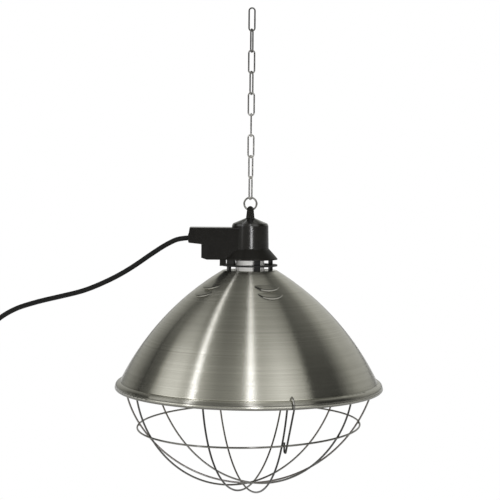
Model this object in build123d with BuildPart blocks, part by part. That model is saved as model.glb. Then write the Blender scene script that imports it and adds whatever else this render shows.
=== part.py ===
from build123d import *

import os
from math import cos, pi, radians, sin, sqrt, tan

# Infrared heat lamp: a spun aluminium shade with a wire guard, hung on a link chain.
# Millimetres, +Z up. The hook bears at the origin, inside the top of the first chain link.
# Heights named "h" or "height" are counted from the shade's widest circle.

# Chain and hanging ring
link_wire = 2.0
link_bend = 3.75  # centre-line radius of a link's round ends
link_length = 29.5  # between the centre lines of a link's two ends
link_gap = 0.2
link_yaws = [0, 69, 0, 62, 0, 90, 15, -50, 63]  # how far each link is turned, from the top
ring_wire = 2.4
ring_radius = 8.1
link_pitch = link_length - link_wire - link_gap
chain_foot_z = link_wire / 2 - link_pitch * (len(link_yaws) - 1) - link_length
ring_top_z = chain_foot_z + (link_wire + ring_wire) / 2 + link_gap
ring_foot_z = ring_top_z - 2 * ring_radius

# Holder cap
eye_height = 229.7  # the ring's lowest wire, in the lug's eye
eye_clearance = 0.35
lug_width = 11.6  # at its foot
lug_neck = 8.6  # beside the eye
lug_depth = 10.0
lug_top = 234.8
cap_top = 219.2
cap_top_radius = 23.8
cap_foot = 179.5
cap_foot_radius = 24.5
skirt_radius = 36.0
skirt_lip = 165.2
cap_wall = 2.4
ledge_height = 168.2  # underside of the ledge that the cage is screwed to
ledge_thick = 2.5
ledge_hole = 20.5

# Side housing
housing_depth = 38.0
housing_cover_thick = 2.0
housing_top = 206.8
housing_wall = 2.4
nozzle_end = 80.0
step_x = 63.3
cord_height = 193.0
grommet_radius = 4.7
grommet_lip = 1.0

# Spacer cage between the holder and the shade
plate_radius = 36.0
plate_bore = 24.5
plate_thick = 2.0
plate_height = 156.6
leg_radius = 28.6
leg_width = 8.0
leg_thick = 3.5
leg_count = 4
leg_azimuth = -71.5
shield_azimuth = 217.0  # a broad upright tab beside one leg
shield_radius = 30.6
shield_width = 15.0
shield_thick = 3.0
foot_height = plate_height + plate_thick  # of the side housing, which stands on the cage's plate
foot_x = -35.2

# Shade
shade_radius = 175.0
shade_wall = 1.0
shade_top = 151.0
shade_top_radius = 35.0
shade_hole = 20.0
crease_radius = 168.4
crease_height = 6.3
louvre_azimuths = (-68.3, -145.0, 111.7, 35.0)
louvre_band_ends = (0.122, 0.197, 0.272)  # shares of the wall's length, from the top
louvre_place = 0.22  # a louvre's chord, as a share of its band
louvre_chord = 33.5
louvre_reach = 10.5
louvre_lift = 3.0

# Guard
guard_wire = 2.4
rib_azimuths = (-1.2, 70.7, -73.5, 34.7, -38.2)
rib_besides = (3.5, 1.0, 0.0, 10.5, -2.5)  # how far each rib's plane passes beside the axis
rib_feet = (-131.1, -136.2, -138.7, -133.4, -128.5)
rib_top_radius = 164.6
rib_top_height = 3.0
side_ring_radius = 146.0
side_ring_height = -52.3
side_ring_lean = (0.0222, 0.0122)  # its rise along +X and along +Y
rib_side_radius = side_ring_radius - 2.7
top_ring_radius = rib_top_radius + guard_wire
top_ring_height = 2.0
clip_azimuth = -72.3
hook_azimuths = (54, 158)

# Lampholder and bulb
insert_radius = 18.8
insert_foot = 149.0
insert_top = 194.0
insert_bore = 14.6
shell_radius = 14.4
shell_wall = 0.7
shell_foot = 150.0
shell_top = 182.0
bulb_radius = 62.5
bulb_wall = 1.0
bulb_neck_radius = 14.2
bulb_neck_height = 148.0
bulb_face = -5.0
base_radius = 13.1
base_foot = 148.2
base_top = 174.0
contact_top = 179.5

# Cord, its put-away coil and its plug
cord_width = 6.6
bend_share = 0.45  # of the shorter run beside a bend
floor_height = -200.0
coil_centre_x = 145.0
coil_centre_y = -19.0
coil_radius = 52.0
coil_pitch = 8.5
coil_layer = 7.6
coil_turns_per_layer = 3
tie_width = 12.0
tie_thick = 1.0
plug_width = 37.0
plug_length = 36.0
plug_sleeve = 24.0
pin_width = 4.8
pin_length = 19.0
pin_spacing = 19.0

rim_z = ring_foot_z - eye_height
os.makedirs("parts", exist_ok=True)


def upright(azimuth, z=rim_z):
    """The upright plane through the lamp's axis at an azimuth from +X."""
    across = (cos(radians(azimuth)), sin(radians(azimuth)), 0)
    facing = (sin(radians(azimuth)), -cos(radians(azimuth)), 0)
    return Plane(origin=(0, 0, z), x_dir=across, z_dir=facing)


def level(height):
    """The level plane at a height above the shade's widest circle."""
    return Plane.XY.offset(rim_z + height)


def save(piece, name):
    """Labels a finished piece and writes it."""
    piece.part.label = name
    export_step(piece.part, f"parts/{name}.step")


def start_of(path):
    """The plane across a path at its start."""
    return Plane(origin=path @ 0, z_dir=path % 0)


section = upright(0)


# Chain links
def chain_link(top_z, yaw):
    """One long oval link of round wire, turned about the chain by yaw."""
    leg_foot = link_bend - link_length
    with BuildPart() as link:
        with BuildLine(upright(yaw, top_z)) as oval:
            Line((link_bend, leg_foot), (link_bend, -link_bend))
            ThreePointArc((link_bend, -link_bend), (0, 0), (-link_bend, -link_bend))
            Line((-link_bend, -link_bend), (-link_bend, leg_foot))
            ThreePointArc((-link_bend, leg_foot), (0, -link_length), (link_bend, leg_foot))
        with BuildSketch(start_of(oval.wire())):
            Circle(link_wire / 2)
        sweep(path=oval.wire())
    return link


for number, yaw in enumerate(link_yaws):
    save(chain_link(link_wire / 2 - link_pitch * number, yaw), f"chain_link_{number + 1}")


# Hanging ring
with BuildPart() as hanging_ring:
    with Locations((0, 0, ring_foot_z + ring_radius)):
        Torus(ring_radius, ring_wire / 2, rotation=(90, 0, 0))
save(hanging_ring, "hanging_ring")


# Holder cap: the outer form first, which the side housing is also fitted to
shoulder_radius = 22.6
shoulder_height = 212.2
with BuildPart() as cap_form:
    with BuildSketch(section):
        with BuildLine():
            FilletPolyline(
                (0, cap_top),
                (lug_width / 2, cap_top),
                (shoulder_radius, shoulder_height),
                (cap_top_radius, shoulder_height - 3),
                (cap_foot_radius, cap_foot),
                (skirt_radius, skirt_lip + 1.4),
                (skirt_radius, skirt_lip),
                radius=(2.0, 1.6, 1.6, 0.8, 0.5),
            )
            Line((skirt_radius, skirt_lip), (0, skirt_lip))
            Line((0, skirt_lip), (0, cap_top))
        make_face()
    revolve(axis=Axis.Z)

skirt_inside = skirt_radius - cap_wall
window_height = 14.0
window_width = 24.0
with BuildPart() as holder_cap:
    add(cap_form.part)
    with BuildSketch(section):
        with BuildLine():
            Polyline(
                (0, skirt_lip),
                (skirt_inside, skirt_lip),
                (skirt_inside - 2, ledge_height),
                (ledge_hole, ledge_height),
                (ledge_hole, ledge_height + ledge_thick),
                (skirt_inside - 5, ledge_height + ledge_thick),
                (cap_foot_radius - cap_wall, cap_foot - 1.5),
                (cap_top_radius - cap_wall, shoulder_height - 4),
                (lug_width / 2, cap_top - 4),
                (0, cap_top - 4),
                close=True,
            )
        make_face()
    revolve(axis=Axis.Z, mode=Mode.SUBTRACT)
    with BuildSketch(section):
        with BuildLine():
            Polyline(
                (-lug_neck / 2, eye_height + 1),
                (-lug_width / 2, cap_top - 2),
                (lug_width / 2, cap_top - 2),
                (lug_neck / 2, eye_height + 1),
            )
            ThreePointArc(
                (lug_neck / 2, eye_height + 1), (0, lug_top), (-lug_neck / 2, eye_height + 1)
            )
        make_face()
    extrude(amount=lug_depth / 2, both=True)
    mouth_x = lug_width / 2 - 0.8
    mouth_arc = ring_radius - ring_wire / 2 - eye_clearance
    mouth_y = ring_radius - sqrt(mouth_arc**2 - mouth_x**2)
    with BuildSketch(section):
        with BuildLine():
            Polyline(
                (-mouth_x, eye_height + mouth_y),
                (-mouth_x, eye_height),
                (mouth_x, eye_height),
                (mouth_x, eye_height + mouth_y),
            )
            ThreePointArc(
                (mouth_x, eye_height + mouth_y),
                (0, eye_height + ring_radius - mouth_arc),
                (-mouth_x, eye_height + mouth_y),
            )
        make_face()
    revolve(axis=Axis((0, 0, ring_foot_z), (1, 0, 0)), mode=Mode.SUBTRACT)
    with BuildSketch(Plane.YZ.offset(-cap_foot_radius - 2)):
        with Locations((0, rim_z + cord_height + 2)):
            Rectangle(window_width, window_height)
    extrude(amount=8, mode=Mode.SUBTRACT)
save(holder_cap, "holder_cap")


# Side housing and its back cover
housing_right = 13.0  # inside the cap's outer form, which cuts it
bevel_x = 55.5  # where the bevel beside the step runs out on the front
bevel_depth = 6.0
bevel_top = 184.4
housing_points = [
    (-nozzle_end + 1.6, housing_top),
    (-nozzle_end, cord_height + 3),
    (-nozzle_end, 187.0),
    (-step_x, 185.2),
    (-step_x, skirt_lip + 2.2),
    (-step_x + 7.5, skirt_lip),
    (-housing_right, skirt_lip),
    (-housing_right, housing_top),
]
cavity_points = [
    (-70.0, housing_top - housing_wall),
    (-70.0, 188.9),
    (-bevel_x + 1, 187.6),
    (-bevel_x + 1, skirt_lip + housing_wall),
    (-42.0, skirt_lip + housing_wall),
    (-27.0, 184.5),
    (-27.0, housing_top - housing_wall),
]
boss_places = [(-58.6, 199.8), (-58.6, 173.0), (-31.0, 189.6)]
front_y = -housing_depth / 2
cover_y = housing_depth / 2 - housing_cover_thick
back = Plane(origin=(0, front_y, rim_z), x_dir=(1, 0, 0), z_dir=(0, -1, 0))
with BuildPart() as side_housing:
    with BuildSketch(back):
        with BuildLine():
            Polyline(*housing_points, close=True)
        make_face()
        fillet(vertices().group_by(Axis.X)[0], 1.2)
    extrude(amount=-(cover_y - front_y))
    fillet(faces().sort_by(Axis.Y)[0].edges().filter_by(GeomType.LINE), 1.2)
    with BuildSketch(back.offset(-housing_wall)):
        with BuildLine():
            Polyline(*cavity_points, close=True)
        make_face()
    extrude(amount=-housing_depth, mode=Mode.SUBTRACT)
    with BuildSketch(back.offset(-housing_wall / 2)):
        with Locations(*boss_places):
            Circle(3.4)
    extrude(amount=-(cover_y - front_y - housing_wall / 2))
    with BuildSketch(back.offset(front_y - cover_y)):
        with Locations(*boss_places):
            Circle(1.3)
    extrude(amount=12, mode=Mode.SUBTRACT)
    add(cap_form.part, mode=Mode.SUBTRACT)
    with BuildSketch(level(foot_height)):
        with Locations((foot_x, 0)):
            Rectangle(8.2, 16)
    extrude(amount=skirt_lip - foot_height)
    with BuildSketch(Plane.YZ.offset(-nozzle_end)):
        with Locations((0, rim_z + cord_height)):
            Circle(grommet_radius)
    extrude(amount=14, mode=Mode.SUBTRACT)
    with BuildSketch(Plane.YZ.offset(-cap_foot_radius - 4)):
        with Locations((0, rim_z + cord_height + 2)):
            Rectangle(window_width, window_height)
    extrude(amount=8, mode=Mode.SUBTRACT)
    with BuildSketch(back):
        with Locations((-74.6, 195.2)):
            RectangleRounded(4.8, 13.4, 2.2)
    extrude(amount=-1.8, mode=Mode.SUBTRACT)
    with BuildSketch(level(skirt_lip - 1)):
        with BuildLine():
            Polyline(
                (-step_x - 1, front_y - 1),
                (-bevel_x, front_y - 1),
                (-bevel_x, front_y),
                (-step_x, front_y + bevel_depth),
                (-step_x - 1, front_y + bevel_depth),
                close=True,
            )
        make_face()
    extrude(amount=bevel_top - skirt_lip + 1, mode=Mode.SUBTRACT)
save(side_housing, "side_housing")

with BuildPart() as housing_cover:
    with BuildSketch(back.offset(front_y - cover_y)):
        with BuildLine():
            Polyline(*housing_points, close=True)
        make_face()
        fillet(vertices().group_by(Axis.X)[0], 1.2)
        with Locations(*boss_places):
            Circle(1.4, mode=Mode.SUBTRACT)
    extrude(amount=-housing_cover_thick)
    add(cap_form.part, mode=Mode.SUBTRACT)
save(housing_cover, "housing_cover")

with BuildPart() as cover_screws:
    with BuildSketch(back.offset(-housing_depth)):
        with Locations(*boss_places):
            Circle(2.8)
    extrude(amount=-1.4)
    with BuildSketch(back.offset(-housing_depth)):
        with Locations(*boss_places):
            Circle(1.2)
    extrude(amount=11)
save(cover_screws, "cover_screws")


# Cord grommet, clamp and the two leads to the terminals
grommet_bore = cord_width / 2 + 0.3
cord_line = Axis((0, 0, rim_z + cord_height), (1, 0, 0))
with BuildPart() as cord_grommet:
    with BuildSketch(section):
        with BuildLine():
            FilletPolyline(
                (-70.5, cord_height + grommet_bore),
                (-70.5, cord_height + grommet_radius),
                (-nozzle_end, cord_height + grommet_radius),
                (-nozzle_end, cord_height + 5.6),
                (-nozzle_end - grommet_lip, cord_height + 5.2),
                (-nozzle_end - grommet_lip, cord_height + grommet_bore),
                radius=(0, 0, 0.3, 0.4),
            )
            Line(
                (-nozzle_end - grommet_lip, cord_height + grommet_bore),
                (-70.5, cord_height + grommet_bore),
            )
        make_face()
    revolve(axis=cord_line)
save(cord_grommet, "cord_grommet")

clamp_x = -66.5
clamp_screw_y = 8.0
with BuildPart() as cord_clamp:
    with BuildSketch(level(cord_height + 1.0)):
        with Locations((clamp_x, 0)):
            RectangleRounded(6, 24, 2)
    extrude(amount=housing_top - housing_wall - cord_height - 1.0)
    with BuildSketch(Plane.YZ.offset(clamp_x - 4)):
        with Locations((0, rim_z + cord_height)):
            Circle(cord_width / 2 + 0.05)
    extrude(amount=8, mode=Mode.SUBTRACT)
    with BuildSketch(level(cord_height)):
        with Locations((clamp_x, clamp_screw_y), (clamp_x, -clamp_screw_y)):
            Circle(1.4)
    extrude(amount=12, mode=Mode.SUBTRACT)
save(cord_clamp, "cord_clamp")

with BuildPart() as clamp_screws:
    with BuildSketch(level(cord_height - 0.8)):
        with Locations((clamp_x, clamp_screw_y), (clamp_x, -clamp_screw_y)):
            Circle(2.4)
    extrude(amount=1.8)
    with BuildSketch(level(cord_height + 1.0)):
        with Locations((clamp_x, clamp_screw_y), (clamp_x, -clamp_screw_y)):
            Circle(1.3)
    extrude(amount=housing_top - housing_wall - cord_height - 1.2)
save(clamp_screws, "clamp_screws")

terminal_y = 9.0
terminal_size = 8.0
lead_width = 2.2
lead_height = insert_top + terminal_size / 2
with BuildPart() as inner_leads:
    for side in (-1, 1):
        with BuildLine() as lead:
            FilletPolyline(
                (-66.8, side * 1.6, rim_z + cord_height),
                (-52.0, side * 1.6, rim_z + cord_height),
                (-38.0, side * terminal_y, rim_z + lead_height),
                (-terminal_size / 2 - 0.1, side * terminal_y, rim_z + lead_height),
                radius=9,
            )
        with BuildSketch(start_of(lead.wire())):
            Circle(lead_width / 2)
        sweep(path=lead.wire())
save(inner_leads, "inner_leads")


# Lampholder: porcelain insert, screw shell, centre contact and terminals
with BuildPart() as lampholder_insert:
    with BuildSketch(section):
        with BuildLine():
            FilletPolyline(
                (insert_bore, insert_foot),
                (insert_radius, insert_foot),
                (insert_radius, ledge_height + ledge_thick),
                (insert_radius + 3.6, ledge_height + ledge_thick),
                (insert_radius + 3.6, ledge_height + ledge_thick + 4),
                (insert_radius - 0.8, ledge_height + ledge_thick + 4),
                (insert_radius - 1.8, insert_top),
                (0, insert_top),
                radius=(1.2, 0, 0.8, 0.8, 0, 1.5),
            )
            Polyline(
                (0, insert_top),
                (0, insert_top - 9),
                (insert_bore, insert_top - 9),
                (insert_bore, insert_foot),
            )
        make_face()
    revolve(axis=Axis.Z)
save(lampholder_insert, "lampholder_insert")

with BuildPart() as screw_shell:
    with BuildSketch(level(shell_foot)):
        Circle(shell_radius)
        Circle(shell_radius - shell_wall, mode=Mode.SUBTRACT)
    extrude(amount=shell_top - shell_foot)
save(screw_shell, "screw_shell")

contact_thick = 0.8
contact_width = 7.0
with BuildPart() as centre_contact:
    with BuildSketch(section):
        with BuildLine() as leaf:
            Polyline(
                (-10, insert_top - 9.5),
                (-4, insert_top - 9.5),
                (2, contact_top + contact_thick),
                (7, contact_top + contact_thick),
            )
            offset(amount=contact_thick / 2, side=Side.BOTH)
        make_face()
    extrude(amount=contact_width / 2, both=True)
save(centre_contact, "centre_contact")

with BuildPart() as terminals:
    with Locations(level(insert_top)):
        with Locations((0, terminal_y), (0, -terminal_y)):
            Box(terminal_size, terminal_size, terminal_size, align=(Align.CENTER, Align.CENTER, Align.MIN))
    with BuildSketch(Plane.YZ.offset(-terminal_size)):
        with Locations((terminal_y, rim_z + lead_height), (-terminal_y, rim_z + lead_height)):
            Circle(lead_width / 2)
    extrude(amount=terminal_size, mode=Mode.SUBTRACT)
    chamfer(edges().filter_by(Axis.Z), 0.8)
save(terminals, "terminals")

with BuildPart() as terminal_screws:
    with BuildSketch(level(insert_top + terminal_size)):
        with Locations((0, terminal_y), (0, -terminal_y)):
            Circle(2.6)
    extrude(amount=1.8)
save(terminal_screws, "terminal_screws")


# Spacer cage: a ring plate with four upright legs and a tongue under the housing's foot
with BuildPart() as spacer_cage:
    with BuildSketch(level(plate_height)):
        Circle(plate_radius)
        with Locations((foot_x, 0)):
            RectangleRounded(8.6, 13, 1)
        Circle(plate_bore, mode=Mode.SUBTRACT)
    extrude(amount=plate_thick)
    with BuildSketch(level(shade_top)):
        with PolarLocations(leg_radius, leg_count, start_angle=leg_azimuth):
            Rectangle(leg_thick, leg_width)
    extrude(amount=ledge_height - shade_top)
    with BuildSketch(level(plate_height)):
        with PolarLocations(shield_radius, 1, start_angle=shield_azimuth):
            Rectangle(shield_thick, shield_width)
    extrude(amount=skirt_lip + 0.5 - plate_height)
    with BuildSketch(level(shade_top)):
        with PolarLocations(leg_radius, leg_count, start_angle=leg_azimuth):
            Circle(1.2)
    extrude(amount=9, mode=Mode.SUBTRACT)
save(spacer_cage, "spacer_cage")

with BuildPart() as shade_screws:
    with BuildSketch(level(shade_top - shade_wall)):
        with PolarLocations(leg_radius, leg_count, start_angle=leg_azimuth):
            Circle(3.0)
    extrude(amount=-1.8)
    with BuildSketch(level(shade_top - shade_wall)):
        with PolarLocations(leg_radius, leg_count, start_angle=leg_azimuth):
            Circle(1.1)
    extrude(amount=8)
save(shade_screws, "shade_screws")


# Shade: a spun shell with a quarter-round flange and a curled edge
top_corner = (shade_top_radius + 1.8, shade_top - 0.8)
wall_middle = (111.8, 88.7)
crease = (crease_radius, crease_height)
wall_arc = ThreePointArc(top_corner, wall_middle, crease, mode=Mode.PRIVATE)
band_points = [wall_arc @ share for share in louvre_band_ends]
above_bands = wall_arc @ (louvre_band_ends[0] / 2)
below_bands = wall_arc @ ((louvre_band_ends[-1] + 1) / 2)
with BuildPart() as shade:
    with BuildSketch(section):
        with BuildLine():
            Line((shade_hole, shade_top), (shade_top_radius, shade_top))
            ThreePointArc(
                (shade_top_radius, shade_top), (shade_top_radius + 1.0, shade_top - 0.2), top_corner
            )
            ThreePointArc(top_corner, above_bands, band_points[0])
            Polyline(*band_points)
            ThreePointArc(band_points[-1], below_bands, crease)
            ThreePointArc(crease, (173.0, 4.5), (shade_radius, 0))
            ThreePointArc((shade_radius, 0), (172.4, -4.6), (169.6, -2.2))
            offset(amount=shade_wall, side=Side.RIGHT)
        make_face()
    revolve(axis=Axis.Z)
    with BuildSketch(level(shade_top - 2 * shade_wall)):
        with PolarLocations(leg_radius, leg_count, start_angle=leg_azimuth):
            Circle(1.3)
    extrude(amount=4 * shade_wall, mode=Mode.SUBTRACT)


# Air louvres: half-moon flaps, cut free along their arc and lifted off the wall
louvre_prism = 9.0
louvre_root = 2.0
louvre_inset = 0.05


def louvre_spot(band):
    """A louvre's chord in the shade's section, and the way down the wall there."""
    start, end = band_points[band], band_points[band + 1]
    return start + (end - start) * louvre_place, (end - start).normalized()


def half_moon(band, grown, root):
    """A half-moon prism through the wall, its chord uphill, with a root strip above the chord."""
    spot, slope = louvre_spot(band)
    half_chord = louvre_chord / 2 + grown
    wall = Plane(origin=(spot.X, 0, rim_z + spot.Y), x_dir=(0, 1, 0), z_dir=(-slope.Y, 0, slope.X))
    with BuildPart() as prism:
        with BuildSketch(wall):
            with BuildLine():
                Polyline((-half_chord, 0), (-half_chord + 1, root), (half_chord - 1, root), (half_chord, 0))
                ThreePointArc((half_chord, 0), (0, -louvre_reach - grown), (-half_chord, 0))
            make_face()
        extrude(amount=louvre_prism, both=True)
    return prism


def louvre_flap(band):
    """One lifted flap on the +X side, rooted in the wall above its chord."""
    spot, slope = louvre_spot(band)
    out = Vector(-slope.Y, slope.X)
    root = spot - slope * louvre_root
    tip = spot + slope * (louvre_reach + 1)
    with BuildPart() as flap:
        with BuildSketch(section):
            with BuildLine():
                Polyline(
                    root - out * louvre_inset,
                    tip + out * louvre_lift,
                    tip + out * (louvre_lift - shade_wall + louvre_inset),
                    root - out * (shade_wall - louvre_inset),
                    close=True,
                )
            make_face()
        revolve(axis=Axis.Z)
        add(half_moon(band, 0, louvre_root - 0.2).part, mode=Mode.INTERSECT)
    return flap


with BuildPart() as louvred_shade:
    add(shade.part)
    for band in range(len(band_points) - 1):
        for azimuth in louvre_azimuths:
            with PolarLocations(0, 1, start_angle=azimuth):
                add(half_moon(band, 0.5, 0.01).part, mode=Mode.SUBTRACT)
            with PolarLocations(0, 1, start_angle=azimuth):
                add(louvre_flap(band).part)
print("shade volume whole", round(shade.part.volume), "louvred", round(louvred_shade.part.volume))
save(louvred_shade, "shade")


# Guard ribs, each in an upright plane of its own, crossing below the bulb
def side_rise(azimuth, radius):
    """How far the leaning side ring's plane has risen at a radius towards an azimuth."""
    along_x, along_y = side_ring_lean
    return radius * (along_x * cos(radians(azimuth)) + along_y * sin(radians(azimuth)))


def guard_rib(azimuth, beside, foot):
    """One rib in a plane beside the axis: a round belly that leans over, tangent, to the shade's rim."""
    side_reach = sqrt(rib_side_radius**2 - beside**2)
    top_reach = sqrt(rib_top_radius**2 - beside**2)
    rise = side_rise(azimuth, side_reach)
    left = (-side_reach, side_ring_height - rise)
    right = (side_reach, side_ring_height + rise)
    with BuildPart() as rib:
        with BuildLine(upright(azimuth).offset(-beside)) as bow:
            belly = ThreePointArc(left, (0, foot), right)
            TangentArc(left, (-top_reach, rib_top_height), tangent=-(belly % 0))
            TangentArc(right, (top_reach, rib_top_height), tangent=belly % 1)
        with BuildSketch(start_of(bow.wire())):
            Circle(guard_wire / 2)
        sweep(path=bow.wire())
    return rib


for number, (azimuth, beside, foot) in enumerate(zip(rib_azimuths, rib_besides, rib_feet)):
    save(guard_rib(azimuth, beside, foot), f"guard_rib_{number + 1}")

side_ring_axis = (-side_ring_lean[0], -side_ring_lean[1], 1)
with BuildPart() as guard_side_ring:
    with Locations(Plane(origin=(0, 0, rim_z + side_ring_height), z_dir=side_ring_axis)):
        Torus(side_ring_radius, guard_wire / 2)
save(guard_side_ring, "guard_side_ring")

with BuildPart() as guard_top_ring:
    with Locations((0, 0, rim_z + top_ring_height)):
        Torus(top_ring_radius, guard_wire / 2)
save(guard_top_ring, "guard_top_ring")


# Spring clip at the front and two hooks at the back, all over the shade's flange
hook_over_flange = [(177.3, -4.0), (177.3, 1.8), (174.0, 8.2), (168.6, 10.0)]
clip_hook = 2.6  # how far the clip stands off the side ring's centre line
clip_height = side_ring_height + side_rise(clip_azimuth, side_ring_radius)
clip_foot = clip_height - 8.0
with BuildPart() as guard_clip:
    with BuildLine(upright(clip_azimuth)) as clip_line:
        FilletPolyline(
            (side_ring_radius - clip_hook, clip_height + 4),
            (side_ring_radius - clip_hook, clip_foot),
            (side_ring_radius + clip_hook, clip_foot),
            *hook_over_flange,
            radius=(clip_hook * 0.95, clip_hook * 0.85, 8, 5, 3),
        )
    with BuildSketch(start_of(clip_line.wire())):
        Circle(guard_wire / 2)
    sweep(path=clip_line.wire())
save(guard_clip, "guard_clip")

hook_wire = 2.0
with BuildPart() as guard_rear_hooks:
    for azimuth in hook_azimuths:
        with BuildLine(upright(azimuth)) as hook_line:
            FilletPolyline(
                (top_ring_radius - 2.4, top_ring_height + 2),
                (top_ring_radius - 2.4, -3.0),
                (170.0, -7.6),
                *hook_over_flange,
                radius=(3, 6, 5, 5, 3),
            )
        with BuildSketch(start_of(hook_line.wire())):
            Circle(hook_wire / 2)
        sweep(path=hook_line.wire())
save(guard_rear_hooks, "guard_rear_hooks")


# Infrared reflector bulb
neck_foot = 136.0
shoulder = (33.0, 92.0)
widest = 40.0
face_edge = (46.0, 4.0)
face_rise = face_edge[1] - bulb_face
face_dome = (face_edge[0] ** 2 + face_rise**2) / (2 * face_rise)  # radius of the round face
face_middle = (face_edge[0] / 2, bulb_face + face_dome - sqrt(face_dome**2 - face_edge[0] ** 2 / 4))
with BuildPart() as bulb_glass:
    with BuildSketch(section):
        with BuildLine():
            Line((bulb_neck_radius, bulb_neck_height), (bulb_neck_radius, neck_foot))
            flare = TangentArc((bulb_neck_radius, neck_foot), shoulder, tangent=(0, -1))
            body = TangentArc(shoulder, (bulb_radius, widest), tangent=flare % 1)
            TangentArc((bulb_radius, widest), face_edge, tangent=body % 1)
            ThreePointArc(face_edge, face_middle, (0, bulb_face))
            offset(amount=bulb_wall, side=Side.RIGHT)
        make_face()
    revolve(axis=Axis.Z)
save(bulb_glass, "bulb_glass")

base_wall = 0.6
with BuildPart() as bulb_base:
    with BuildSketch(section):
        with BuildLine():
            Polyline(
                (base_radius - base_wall, base_foot),
                (base_radius, base_foot),
                (base_radius, base_top - 3),
                (7.0, base_top + 2),
                (0, base_top + 2),
                (0, base_top - 1),
                (base_radius - base_wall, base_top - 4),
                close=True,
            )
        make_face()
    revolve(axis=Axis.Z)
save(bulb_base, "bulb_base")

with BuildPart() as bulb_contact:
    with BuildSketch(section):
        with BuildLine():
            Polyline((5.0, base_top + 4), (5.0, base_top + 2), (0, base_top + 2), (0, contact_top))
            ThreePointArc((0, contact_top), (3.4, contact_top - 0.5), (5.0, base_top + 4))
        make_face()
    revolve(axis=Axis.Z)
save(bulb_contact, "bulb_contact")

stem_radius = 5.0
stem_foot = 112.0
with BuildPart() as bulb_stem:
    with BuildSketch(level(stem_foot)):
        Circle(stem_radius)
    extrude(amount=base_foot - 1 - stem_foot)
    fillet(edges().group_by(Axis.Z)[0], 3)
    with BuildSketch(level(bulb_neck_height - 4)):
        Circle(bulb_neck_radius - bulb_wall)
    extrude(amount=3)
save(bulb_stem, "bulb_stem")

filament_wire = 1.4
with BuildPart() as bulb_filament:
    with BuildLine(section) as filament_line:
        FilletPolyline((-2, stem_foot), (-13, 70), (13, 70), (2, stem_foot), radius=4)
    with BuildSketch(start_of(filament_line.wire())):
        Circle(filament_wire / 2)
    sweep(path=filament_line.wire())
save(bulb_filament, "bulb_filament")


# Cord: out of the nozzle to the left, down to the floor and back under the lamp to its coil
floor_z = rim_z + floor_height
coil_z = floor_z + tie_thick + cord_width / 2
coil_top_z = coil_z + coil_layer
lead_points = [
    (-67.2, 0, rim_z + cord_height),
    (-90, 0, rim_z + cord_height),
    (-107, 0, rim_z + 185.4),
    (-126, 0, rim_z + 173.2),
    (-151, 0, rim_z + 155.3),
    (-172, 0, rim_z + 142.4),
    (-196, 0, rim_z + 130.6),
    (-219, 0, rim_z + 121.4),
    (-246, 0, rim_z + 114.8),
    (-279, 1, rim_z + 107),
    (-313, 2, rim_z + 96),
    (-344, 3, rim_z + 73),
    (-362, 3, rim_z + 31),
    (-367, 3, rim_z - 28),
    (-366, 3, rim_z - 92),
    (-357, 3, rim_z - 147),
    (-332, 2, rim_z - 183),
    (-292, 0, floor_z + cord_width / 2),
    (-240, 2, floor_z + cord_width / 2),
    (-178, 8, floor_z + cord_width / 2),
    (-110, 4, floor_z + cord_width / 2),
    (-40, -16, floor_z + cord_width / 2),
    (25, -48, floor_z + cord_width / 2),
    (coil_centre_x - 60, coil_centre_y - coil_radius, coil_z),
    (coil_centre_x - cord_width, coil_centre_y - coil_radius, coil_z),
]


def bend_radii(points):
    """As large a bend at each inner point as its two runs allow."""
    radii = []
    for before, here, after in zip(points, points[1:], points[2:]):
        arriving = Vector(*here) - Vector(*before)
        leaving = Vector(*after) - Vector(*here)
        shorter = min(arriving.length, leaving.length)
        radii.append(bend_share * shorter / tan(radians(arriving.get_angle(leaving)) / 2))
    return radii


def cord_tube(points):
    """A round cord along a route of straight runs and tangent bends."""
    radii = bend_radii(points)
    with BuildPart() as tube:
        with BuildLine() as route:
            FilletPolyline(*points, radius=radii)
        with BuildSketch(start_of(route.wire())):
            Circle(cord_width / 2)
        sweep(path=route.wire())
    length = route.wire().length
    print("bends", [round(radius) for radius in radii], "length", round(length, 1))
    print("volume over section times length", tube.part.volume / (pi * cord_width**2 / 4 * length))
    return tube


save(cord_tube(lead_points), "cord_lead")


# Put-away coil: half turns that spiral in on the floor, climb, and spiral out on top
def coil_stations():
    """Where the coil crosses its own diameter line, half a turn apart: offset along Y, and Z."""
    half_turns = 2 * coil_turns_per_layer
    stations = []
    for number in range(half_turns + 1):
        side = -1 if number % 2 == 0 else 1
        stations.append((side * (coil_radius - number * coil_pitch / 2), coil_z))
    innermost = coil_radius - half_turns * coil_pitch / 2
    for number in range(half_turns + 1):
        side = 1 if number % 2 == 0 else -1
        stations.append((side * (innermost + number * coil_pitch / 2), coil_top_z))
    return stations


def coil_half_turns():
    """Each half turn as its start, middle and end."""
    stations = coil_stations()
    halves = []
    for number, ((y0, z0), (y1, z1)) in enumerate(zip(stations, stations[1:])):
        bulge = 1 if number % 2 == 0 else -1
        reach = sqrt((y1 - y0) ** 2 + (z1 - z0) ** 2) / 2
        start = (coil_centre_x, coil_centre_y + y0, z0)
        middle = (coil_centre_x + bulge * reach, coil_centre_y + (y0 + y1) / 2, (z0 + z1) / 2)
        end = (coil_centre_x, coil_centre_y + y1, z1)
        halves.append((start, middle, end))
    return halves


def least_gap(wire, apart):
    """The least gap between stretches of a tube that lie further apart along it than a given length."""
    count = 900
    points = [wire @ (number / count) for number in range(count + 1)]
    skip = int(count * apart / wire.length) + 1
    least = min(
        (points[i] - points[j]).length for i in range(count + 1) for j in range(i + skip, count + 1)
    )
    return least - cord_width


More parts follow.
